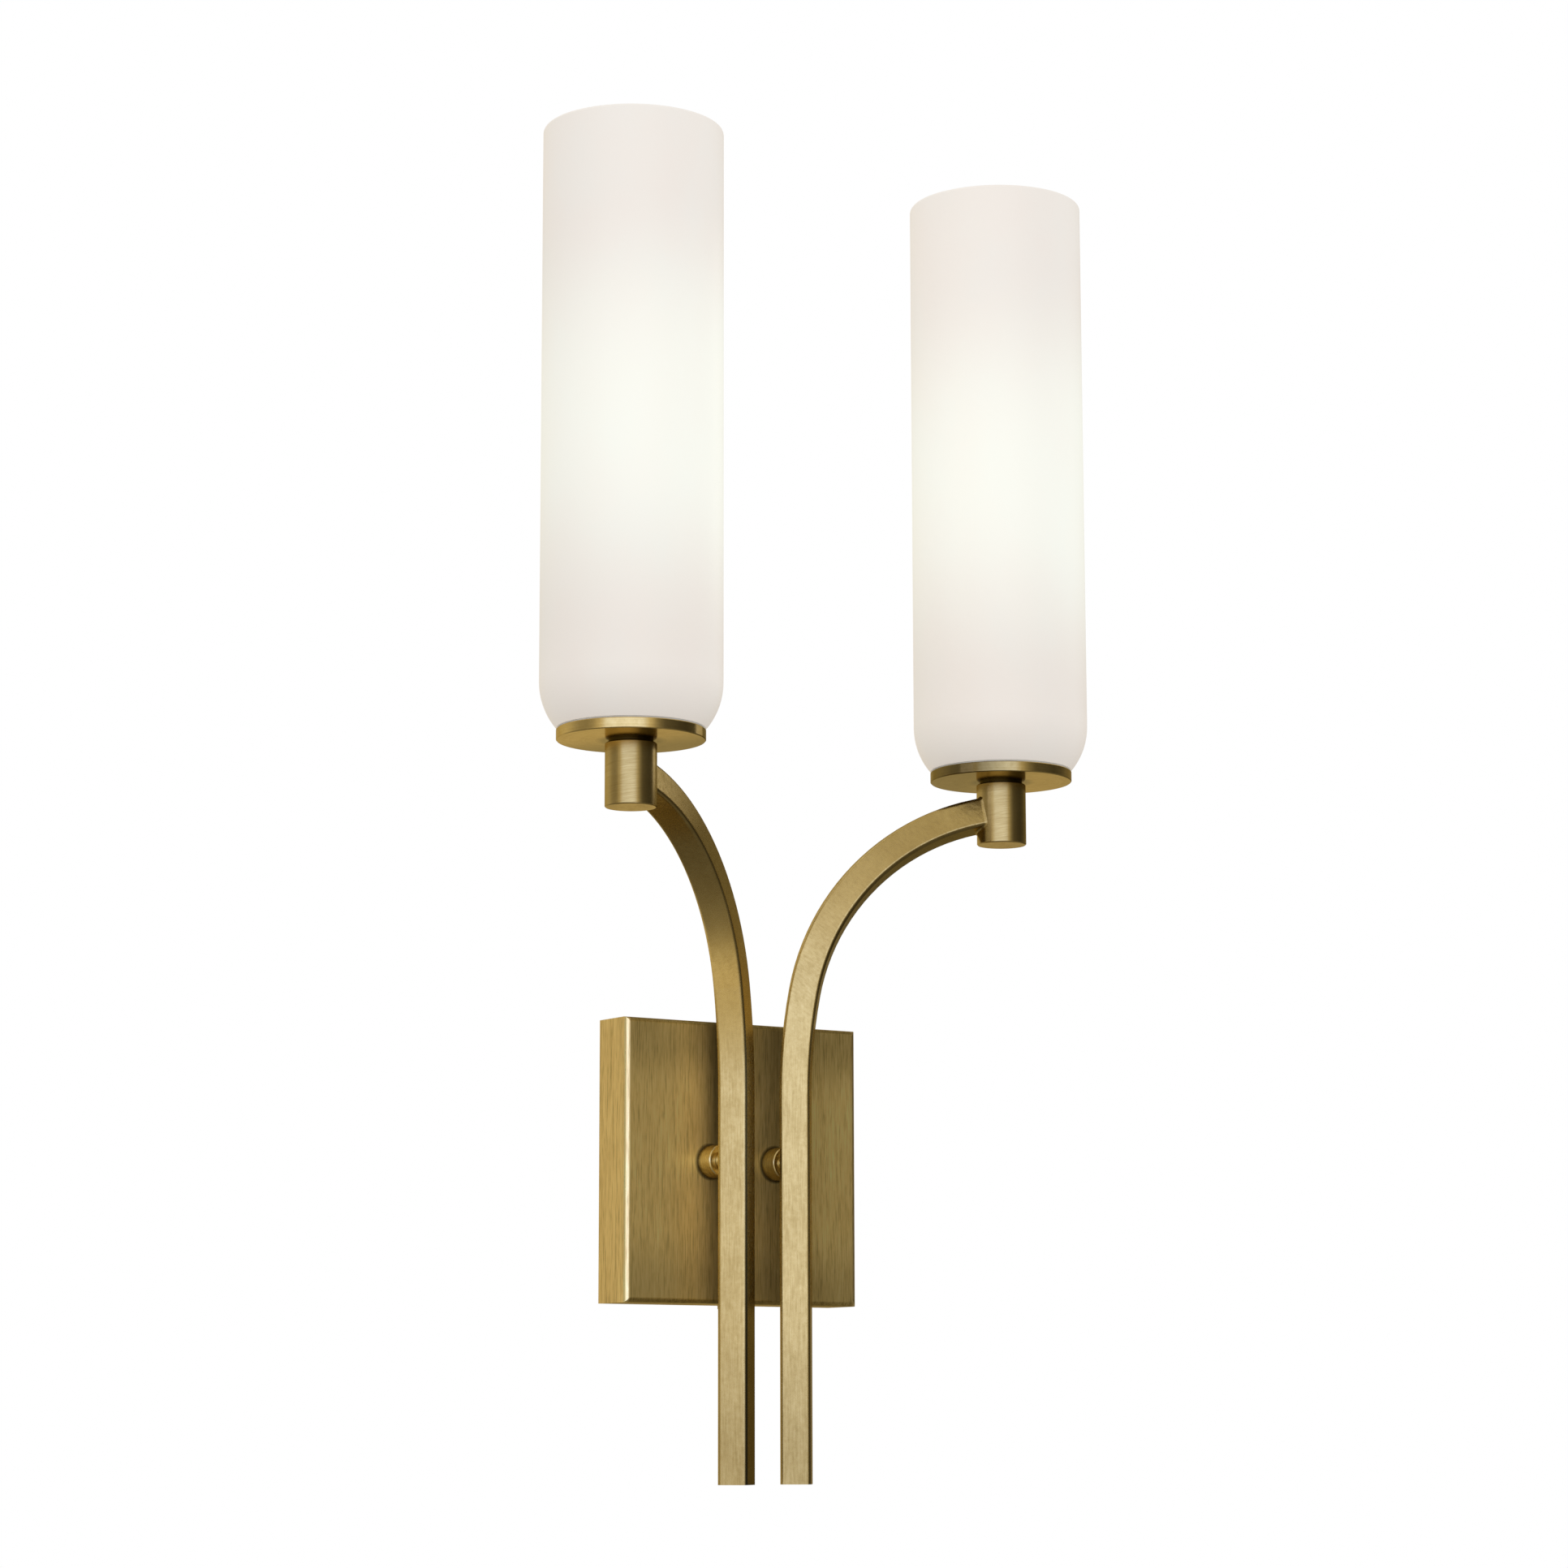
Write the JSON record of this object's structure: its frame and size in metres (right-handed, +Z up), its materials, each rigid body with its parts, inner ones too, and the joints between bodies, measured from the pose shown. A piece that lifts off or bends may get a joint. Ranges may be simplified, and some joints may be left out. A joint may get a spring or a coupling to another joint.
{
  "type": "wall sconce",
  "caption": "Two-light wall sconce: box canopy, bent square-bar arms rising from posts, each with a stem, disc and tall open opal glass cylinder.",
  "frame": {"origin": "wall plane, midway between the two wall-box slots, which is the centre of the canopy", "axes": "+Z up along the shades, +Y into the wall, +X to the right as seen from the room"},
  "size_m": [0.2607, 0.1172, 0.5493],
  "materials": {
    "canopy_brass": "aged, brushed vertically",
    "plate_steel": "zinc plated",
    "screw_brass": "satin",
    "green_screw": "green anodised",
    "arm_brass": "aged, lightly mottled",
    "turned_brass": "turned, fine rings",
    "steel_hardware": "zinc plated",
    "opal_glass": "etched opal",
    "gasket_rubber": "matt",
    "ring_metal": "satin",
    "socket_porcelain": "glazed",
    "socket_brass": "plain",
    "lamp_base_metal": "nickel plated",
    "lamp_insulator": "black glass",
    "lamp_contact_tin": "tinned",
    "lamp_glass": "frosted",
    "lamp_filament": "lit filament"
  },
  "bodies": {
    "wall_frame": {"canopy": "canopy_brass", "mounting_plate": "plate_steel", "canopy_stiffener": "plate_steel", "canopy_screws": "screw_brass", "ground_screw": "green_screw", "left_arm": "arm_brass", "left_arm_plug": "arm_brass", "left_post": "turned_brass", "left_stem": "turned_brass", "left_disc": "turned_brass", "left_arm_nipple": "turned_brass", "left_arm_washer": "steel_hardware", "left_arm_nut": "steel_hardware", "left_light_nipple": "steel_hardware", "left_disc_washer": "steel_hardware", "left_disc_nut": "steel_hardware", "left_glass_shade": "opal_glass", "left_shade_gasket": "gasket_rubber", "left_socket": "socket_porcelain", "left_socket_bushing": "socket_brass", "left_screw_shell": "socket_brass", "left_centre_contact": "socket_brass", "left_terminal_screws": "socket_brass", "right_arm": "arm_brass", "right_arm_plug": "arm_brass", "right_post": "turned_brass", "right_stem": "turned_brass", "right_disc": "turned_brass", "right_arm_nipple": "turned_brass", "right_arm_washer": "steel_hardware", "right_arm_nut": "steel_hardware", "right_light_nipple": "steel_hardware", "right_disc_washer": "steel_hardware", "right_disc_nut": "steel_hardware", "right_glass_shade": "opal_glass", "right_shade_gasket": "gasket_rubber", "right_socket": "socket_porcelain", "right_socket_bushing": "socket_brass", "right_screw_shell": "socket_brass", "right_centre_contact": "socket_brass", "right_terminal_screws": "socket_brass"},
    "left_lamp": {"left_lamp_base": "lamp_base_metal", "left_lamp_insulator": "lamp_insulator", "left_lamp_contact": "lamp_contact_tin", "left_lamp_globe": "lamp_glass", "left_lamp_filament": "lamp_filament"},
    "left_ring": {"left_shade_ring": "ring_metal"},
    "right_lamp": {"right_lamp_base": "lamp_base_metal", "right_lamp_insulator": "lamp_insulator", "right_lamp_contact": "lamp_contact_tin", "right_lamp_globe": "lamp_glass", "right_lamp_filament": "lamp_filament"},
    "right_ring": {"right_shade_ring": "ring_metal"}
  },
  "joints": [
    {"name": "left_lamp_turn", "type": "hinge", "parent": "wall_frame", "child": "left_lamp", "pos_m": [-0.09327, -0.08007, 0.19183], "axis": [0, 0, 1], "range_deg": [0, 900]},
    {"name": "left_ring_turn", "type": "hinge", "parent": "wall_frame", "child": "left_ring", "pos_m": [-0.09327, -0.08007, 0.17073], "axis": [0, 0, 1], "range_deg": [0, 1080]},
    {"name": "right_lamp_turn", "type": "hinge", "parent": "wall_frame", "child": "right_lamp", "pos_m": [0.09327, -0.08007, 0.19183], "axis": [0, 0, 1], "range_deg": [0, 900]},
    {"name": "right_ring_turn", "type": "hinge", "parent": "wall_frame", "child": "right_ring", "pos_m": [0.09327, -0.08007, 0.17073], "axis": [0, 0, 1], "range_deg": [0, 1080]}
  ]
}
